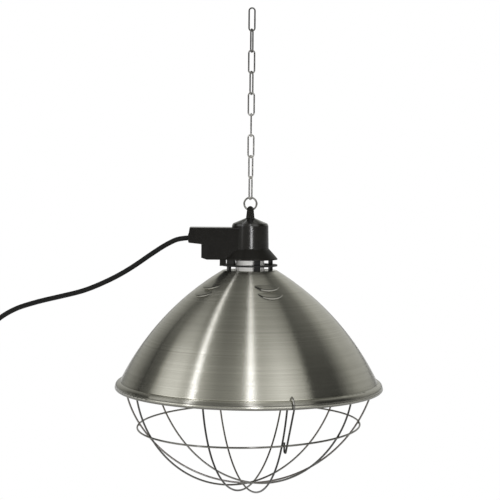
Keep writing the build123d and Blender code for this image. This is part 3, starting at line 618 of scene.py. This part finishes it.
def model_sleeve_ring():
    """A rounded ring round the X axis, of real width but 1 metre radius, for the cord sleeve."""
    land = 0.06  # of the radius, from the ring's crest to its flanks
    ring = start_piece(
        bpy.ops.mesh.primitive_cylinder_add, vertices=40, radius=1, depth=0.0018, rotation=(0, pi / 2, 0)
    )
    bpy.ops.object.mode_set(mode="OBJECT")
    bpy.ops.object.transform_apply(location=False, rotation=True, scale=False)
    bpy.ops.object.mode_set(mode="EDIT")
    pick_faces(ring, lambda middle, normal: abs(normal.x) > 0.9)
    bpy.ops.mesh.inset(thickness=land)
    pick_edges(ring, lambda end: hypot(end.y, end.z) > 1 - land / 2)
    bpy.ops.transform.resize(value=(0.45, 1, 1))
    bpy.ops.object.mode_set(mode="OBJECT")
    return ring


# Screws: X, height above the rim and turn of the slot behind the cover, and the circle under the shade's crown
COVER_SCREWS = ((-0.0586, 0.1998, 0.4), (-0.0586, 0.173, 1.9), (-0.031, 0.1896, 2.7))
COVER_SEAT = 0.0014  # from the end of a plain screw back to the face that its head bears on
CROWN_CIRCLE, CROWN_START, CROWN_SEAT = 0.0286, -71.5, RIM + 0.15


def make_screw_heads():
    """Slotted heads behind the side housing's cover and under the shade's crown."""
    head = model_screw_head()
    cover_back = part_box("cover_screws")[1][1] - COVER_SEAT
    cover_places = []
    for x, height, turn in COVER_SCREWS:
        behind = Matrix.Translation((x, cover_back, RIM + height))
        cover_places.append(behind @ Matrix.Rotation(-pi / 2, 4, "X") @ Matrix.Rotation(turn, 4, "Z"))
    covers = set_copies(head, "cover_screw_heads", cover_places, finish["steel"], "lamp")
    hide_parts("cover_screws")
    crown_places = []
    for number in range(4):
        azimuth = radians(CROWN_START + 90 * number)
        under = Matrix.Translation((CROWN_CIRCLE * cos(azimuth), CROWN_CIRCLE * sin(azimuth), CROWN_SEAT))
        crown_places.append(under @ Matrix.Rotation(pi, 4, "X") @ Matrix.Rotation(number * 1.3, 4, "Z"))
    crown = set_copies(head, "shade_screw_heads", crown_places, finish["steel"], "lamp")
    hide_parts("shade_screws")
    bpy.data.objects.remove(head)


# The guard: each rib's direction in degrees and how far beside the axis it passes, then for each ring the radius at
# which the ribs cross it, the radius of the welds and their height. The side ring leans by a slope in X and in Y.
RIBS = ((-1.2, 0.0035), (70.7, 0.001), (-73.5, 0.0), (34.7, 0.0105), (-38.2, -0.0025))
SIDE_RING, SIDE_WELD, SIDE_HEIGHT = 0.1433, 0.1447, RIM - 0.0523
SIDE_LEAN_X, SIDE_LEAN_Y = 0.0222, 0.0122
TOP_RING, TOP_WELD, TOP_HEIGHT = 0.1646, 0.1658, RIM + 0.0026


def make_guard_welds():
    """Weld nuggets where each rib meets the guard's two rings."""
    weld = model_weld()
    places = []
    for azimuth, beside in RIBS:
        along = Vector((cos(radians(azimuth)), sin(radians(azimuth)), 0))
        across = Vector((-sin(radians(azimuth)), cos(radians(azimuth)), 0))
        for side in (-1, 1):
            reach = side * sqrt(SIDE_RING**2 - beside**2)
            level = SIDE_HEIGHT + reach * (SIDE_LEAN_X * along.x + SIDE_LEAN_Y * along.y)
            meets = along * reach + across * beside
            top = along * side * sqrt(TOP_RING**2 - beside**2) + across * beside
            for spot, radius, height in ((meets, SIDE_WELD, level), (top, TOP_WELD, TOP_HEIGHT)):
                turn = atan2(spot.y, spot.x)
                centre = Matrix.Translation((radius * cos(turn), radius * sin(turn), height))
                places.append(centre @ Matrix.Rotation(turn + pi / 2, 4, "Z"))
    set_copies(weld, "guard_welds", places, finish["wire"], "guard")
    bpy.data.objects.remove(weld)


# The chain: how far each link is turned, in degrees; from the axis to the middle of a link's leg; from link to link;
# the height of the chain's top; and from there to the middle of the first link.
LINK_TURNS = (0, 69, 0, 62, 0, 90, 15, -50, 63)
LINK_LEG, LINK_PITCH, CHAIN_TOP, LINK_MIDDLE = 0.00375, 0.0273, 0.001, 0.01475
RING_WIRE, RING_COLLAR = 0.0012, 1.2  # half the ring's wire, and its weld's thickness against a link's


def make_chain_welds():
    """The closing weld on one leg of every chain link, and on the hanging ring."""
    collar = model_butt_weld()
    for number, yaw in enumerate(LINK_TURNS):
        leg = Vector((cos(radians(yaw)), sin(radians(yaw)), 0)) * LINK_LEG
        place = Matrix.Translation((leg.x, leg.y, CHAIN_TOP - LINK_PITCH * number - LINK_MIDDLE))
        name = "link_%d" % (number + 1)
        set_copies(collar, name + "_weld", [place], finish["chain"], name)
    low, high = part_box("hanging_ring")
    middle = Matrix.Translation((high[0] - RING_WIRE, 0, (low[2] + high[2]) / 2))
    place = middle @ Matrix.Diagonal((RING_COLLAR, RING_COLLAR, 1.0, 1))
    set_copies(collar, "ring_weld", [place], finish["wire"], "ring")
    bpy.data.objects.remove(collar)


BAR_PLACES = (0.018, 0.022, 0.026, 0.03, 0.034)  # in X
SLEEVE_START, SLEEVE_STEP = 0.053, 0.004  # in X
SLEEVE_RADIUS, SLEEVE_TAPER = 0.0063, 0.00027


def make_plug_grip():
    """Grip bars across the plug's top, and rings along the sleeve that the cord leaves by."""
    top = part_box("plug_body")[1][2]
    bar = model_grip_bar()
    places = [Matrix.Translation((x, PLUG_Y, top)) for x in BAR_PLACES]
    bars = set_copies(bar, "plug_grip_bars", places, finish["plug"], "lamp")
    bpy.data.objects.remove(bar)
    ring = model_sleeve_ring()
    places = []
    for number in range(5):
        radius = SLEEVE_RADIUS - SLEEVE_TAPER * number
        centre = Matrix.Translation((SLEEVE_START + SLEEVE_STEP * number, PLUG_Y, COIL_TOP))
        places.append(centre @ Matrix.Diagonal((1, radius, radius, 1)))
    rings = set_copies(ring, "plug_sleeve_rings", places, finish["plug"], "lamp")
    bpy.data.objects.remove(ring)
    return [bars, rings]


def set_strap(strip, name, side):
    """A piece of strap from a shaped strip, with its thickness to one side of the strip and soft edges."""
    bpy.ops.object.mode_set(mode="OBJECT")
    bpy.ops.object.transform_apply()
    solid = strip.modifiers.new("thickness", "SOLIDIFY")
    solid.thickness = 0.001
    solid.offset = side
    soft = strip.modifiers.new("edges", "BEVEL")
    soft.width = 0.0003
    soft.segments = 2
    for step in ("thickness", "edges"):
        bpy.ops.object.modifier_apply(modifier=step)
    piece = set_copies(strip, name, [Matrix.Identity(4)], finish["webbing"], "lamp")
    bpy.data.objects.remove(strip)
    return piece


def make_tie_band():
    """The strap round the coil's turns, drawn up to the outermost one."""
    past_turn, corner, shortest_long_edge = 0.0026, 0.003, 0.005
    low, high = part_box("cord_tie")
    outside = COIL_X + COIL_RADIUS + past_turn
    band = start_piece(bpy.ops.mesh.primitive_cube_add, size=1)
    bpy.ops.transform.resize(value=(outside - low[0], high[1] - low[1], high[2] - low[2]))
    bpy.ops.transform.translate(value=((low[0] + outside) / 2, (low[1] + high[1]) / 2, (low[2] + high[2]) / 2))
    pick_faces(band, lambda middle, normal: abs(normal.y) > 0.9)
    bpy.ops.mesh.delete(type="ONLY_FACE")
    bpy.ops.mesh.select_mode(type="EDGE")
    mesh = bmesh.from_edit_mesh(band.data)
    for edge in mesh.edges:
        edge.select_set(abs(edge.verts[0].co.y - edge.verts[1].co.y) > shortest_long_edge)
    bmesh.update_edit_mesh(band.data)
    bpy.ops.mesh.bevel(offset=corner, segments=5)
    piece = set_strap(band, "tie_band", -1.0)
    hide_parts("cord_tie")
    return piece


def make_tie_end():
    """The strap's free end: it lies on the tie and lifts at its tip."""
    inset, gap = 0.008, 0.0001
    steps_and_lifts = ((0.006, 0), (0.006, 0), (0.003, 0.0003), (0.003, 0.0009), (0.003, 0.0016))
    low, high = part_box("cord_tie")
    end = start_piece(bpy.ops.mesh.primitive_plane_add, size=1)
    bpy.ops.transform.resize(value=(0.004, 0.0115, 1))
    bpy.ops.transform.translate(value=(low[0] + inset, (low[1] + high[1]) / 2, high[2] + gap))
    for step, lift in steps_and_lifts:
        mesh = bmesh.from_edit_mesh(end.data)
        reach = max(corner.co.x for corner in mesh.verts)
        pick_edges(end, lambda corner: corner.x > reach - 0.0001)
        bpy.ops.mesh.extrude_region_move(TRANSFORM_OT_translate={"value": (step, 0, lift)})
    return set_strap(end, "tie_end", 1.0)


def make_base_thread():
    """A round thread wound five times round the bulb's base."""
    radius, pitch, turns, start = 0.01255, 0.0036, 5, RIM + 0.1525
    thread = start_piece(bpy.ops.mesh.primitive_circle_add, vertices=12, radius=0.001)
    bpy.ops.transform.rotate(value=pi / 2, orient_axis="X", center_override=(0, 0, 0))
    bpy.ops.transform.translate(value=(radius, 0, start))
    bpy.ops.object.mode_set(mode="OBJECT")
    wind = thread.modifiers.new("wind", "SCREW")
    wind.screw_offset = pitch
    wind.iterations = turns
    wind.steps = wind.render_steps = 36
    bpy.ops.object.modifier_apply(modifier="wind")
    bpy.ops.object.mode_set(mode="EDIT")
    bpy.ops.mesh.select_all(action="SELECT")
    bpy.ops.mesh.remove_doubles(threshold=0.00001)
    bpy.ops.mesh.fill_holes(sides=0)
    bpy.ops.mesh.select_all(action="SELECT")
    bpy.ops.mesh.normals_make_consistent(inside=False)
    bpy.ops.object.mode_set(mode="OBJECT")
    set_copies(thread, "base_thread", [Matrix.Identity(4)], finish["base"], "bulb")
    bpy.data.objects.remove(thread)


make_screw_heads()
make_guard_welds()
make_chain_welds()
make_base_thread()
plug_grip = make_plug_grip()
tie = [make_tie_band(), make_tie_end()]


# Floor, camera and light
def make_floor():
    """A plain white floor that glows softly, wide enough to run out of every view, and clear from below."""
    side, gap = 30, 0.0002
    bpy.ops.object.select_all(action="DESELECT")
    bpy.ops.mesh.primitive_plane_add(size=side, location=(0, 0, FLOOR - gap))
    floor = bpy.context.object
    floor.name = "floor"
    material, tree, shader = new_material(
        "white_floor", Base_Color=(0, 0, 0, 1), Emission_Color=(1, 1, 1, 1), Specular_IOR_Level=0.0
    )
    seen = add_node(tree, "ShaderNodeLightPath")
    glow = add_node(tree, "ShaderNodeMapRange", {"To Min": 0.6, "To Max": 1.0})
    tree.links.new(seen.outputs["Is Camera Ray"], glow.inputs["Value"])
    tree.links.new(glow.outputs[0], shader.inputs["Emission Strength"])
    one_sided = add_node(tree, "ShaderNodeMixShader")
    tree.links.new(add_node(tree, "ShaderNodeNewGeometry").outputs["Backfacing"], one_sided.inputs[0])
    tree.links.new(shader.outputs[0], one_sided.inputs[1])
    tree.links.new(add_node(tree, "ShaderNodeBsdfTransparent").outputs[0], one_sided.inputs[2])
    tree.links.new(one_sided.outputs[0], tree.nodes["Material Output"].inputs["Surface"])
    floor.data.materials.append(material)


CAMERA_PLACE = (0.0, -1.7, RIM + 0.262)
CAMERA_DOWN, CAMERA_ROLL = 2.85, 0.5  # degrees


def place_camera():
    """The photograph's view: from the front, a little above the shade's middle."""
    data = bpy.data.cameras.new("camera")
    data.sensor_width = 36.0
    data.lens = 93.7
    data.clip_end = 60
    camera = bpy.data.objects.new("camera", data)
    bpy.context.scene.collection.objects.link(camera)
    aim = Matrix.Rotation(radians(90 - CAMERA_DOWN), 4, "X") @ Matrix.Rotation(radians(CAMERA_ROLL), 4, "Z")
    camera.matrix_world = Matrix.Translation(CAMERA_PLACE) @ aim
    bpy.context.scene.camera = camera


# Soft panels round the lamp, by the side on which it mirrors them: degrees from the front, positive to the right, and
# how bright a panel is where an upright surface, the shade's steep wall and its flatter wall mirror it.
PANELS = [
    (-90, 0.1, 0.5, 0.52), (-80, 0.1, 0.48, 0.5), (-70, 0.1, 0.37, 0.47), (-64, 0.1, 0.25, 0.38),
    (-58, 0.08, 0.09, 0.28), (-52, 0.08, 0.1, 0.24), (-48.5, 0.08, 0.2, 0.18), (-45, 0.1, 0.78, 0.15),
    (-40, 0.12, 1.16, 0.24), (-34, 0.15, 1.2, 0.26), (-29.5, 0.15, 0.8, 0.17), (-26.9, 0.3, 1.0, 0.4),
    (-25.9, 1.6, 3.4, 2.1), (-24.8, 1.6, 3.4, 2.1), (-23.9, 0.3, 0.8, 0.34), (-19, 0.15, 0.48, 0.2),
    (-14, 0.12, 0.32, 0.18), (-8, 0.12, 0.36, 0.21), (-3, 0.1, 0.56, 0.26), (-0.6, 0.1, 1.2, 0.3),
    (0.4, 0.12, 3.9, 2.0), (1.3, 0.2, 3.9, 2.4), (2.1, 5, 1.2, 0.6), (3.3, 5, 0.9, 0.5),
    (5, 0.2, 0.76, 0.42), (15, 0.1, 1.26, 0.32), (20, 0.06, 1.06, 0.29), (26.6, 0.04, 0.6, 0.22),
    (28.6, 0.03, 0.07, 0.13), (44, 0.03, 0.05, 0.23), (58, 0.05, 0.47, 0.58), (90, 0.08, 0.64, 0.66),
]
# The heights in degrees between which the panels for one wall pass into those for the next
UPRIGHT_ENDS, STEEP_STARTS = radians(6), radians(10)
STEEP_ENDS, FLATTER_STARTS = radians(25), radians(39)
PANEL_TINTS = [(0, (0.96, 0.96, 0.9)), (1, (0.94, 0.94, 1.0))]  # from the dim panels to the strong ones
DIM_PANEL, STRONG_PANEL = 0.3, 2.5


def make_world():
    """A grey studio with soft panels, and plain white as a backdrop."""
    world = bpy.data.worlds.new("studio")
    bpy.context.scene.world = world
    world.use_nodes = True
    tree = world.node_tree
    tree.nodes.clear()
    place = coordinates(tree, "Generated")
    across, back, up = place["X"], math_node(tree, "SUBTRACT", 1.0, place["Y"]), place["Z"]
    side = math_node(tree, "ARCTAN2", across, back)
    share = math_node(tree, "ADD", math_node(tree, "DIVIDE", side, pi), 0.5)
    flat = math_node(tree, "ADD", math_node(tree, "POWER", across, 2.0), math_node(tree, "POWER", back, 2.0))
    rise = math_node(tree, "ARCTAN2", up, math_node(tree, "SQRT", flat))
    upright, steep, flatter = (
        ramp_node(tree, share, [(stop[0] / 180 + 0.5, stop[column]) for stop in PANELS]) for column in (1, 2, 3)
    )
    panels = mix_node(tree, between(tree, rise, UPRIGHT_ENDS, STEEP_STARTS, smooth=True), upright, steep)
    panels = mix_node(tree, between(tree, rise, STEEP_ENDS, FLATTER_STARTS, smooth=True), panels, flatter)
    tint = ramp_node(tree, between(tree, panels, DIM_PANEL, STRONG_PANEL), PANEL_TINTS)
    surround = add_node(tree, "ShaderNodeBackground")
    tree.links.new(mix_node(tree, 1.0, panels, tint, "MULTIPLY"), surround.inputs["Color"])
    backdrop = add_node(tree, "ShaderNodeBackground", {"Color": (1, 1, 1, 1)})
    mix = add_node(tree, "ShaderNodeMixShader")
    tree.links.new(add_node(tree, "ShaderNodeLightPath").outputs["Is Camera Ray"], mix.inputs[0])
    tree.links.new(surround.outputs[0], mix.inputs[1])
    tree.links.new(backdrop.outputs[0], mix.inputs[2])
    tree.links.new(mix.outputs[0], add_node(tree, "ShaderNodeOutputWorld").inputs[0])


def add_light(name, width, height, watts, place):
    """A flat light that faces the lamp from the front, and that the camera doesn't see."""
    data = bpy.data.lights.new(name, "AREA")
    data.shape = "RECTANGLE"
    data.size, data.size_y = width, height
    data.energy = watts
    light = bpy.data.objects.new(name, data)
    bpy.context.scene.collection.objects.link(light)
    light.matrix_world = Matrix.Translation(place) @ Matrix.Rotation(pi / 2, 4, "X")
    light.visible_camera = False
    return light


def add_lights():
    """A broad light that no metal mirrors, and a narrow one that draws the line down the cap's barrel alone."""
    front = add_light("front_light", 1.0, 1.0, 20.0, (0.0, -1.5, RIM + 0.2))
    front.visible_glossy = False
    narrow = add_light("cap_light", 0.3, 0.36, 9.0, (0.3, -1.9, RIM - 0.01))
    lit = bpy.data.collections.new("lit_by_cap_light")
    lit.objects.link(nodes["holder_cap"])
    narrow.light_linking.receiver_collection = lit


make_floor()
place_camera()
make_world()
add_lights()
bpy.context.scene.view_settings.view_transform = "Standard"

bpy.context.view_layer.update()
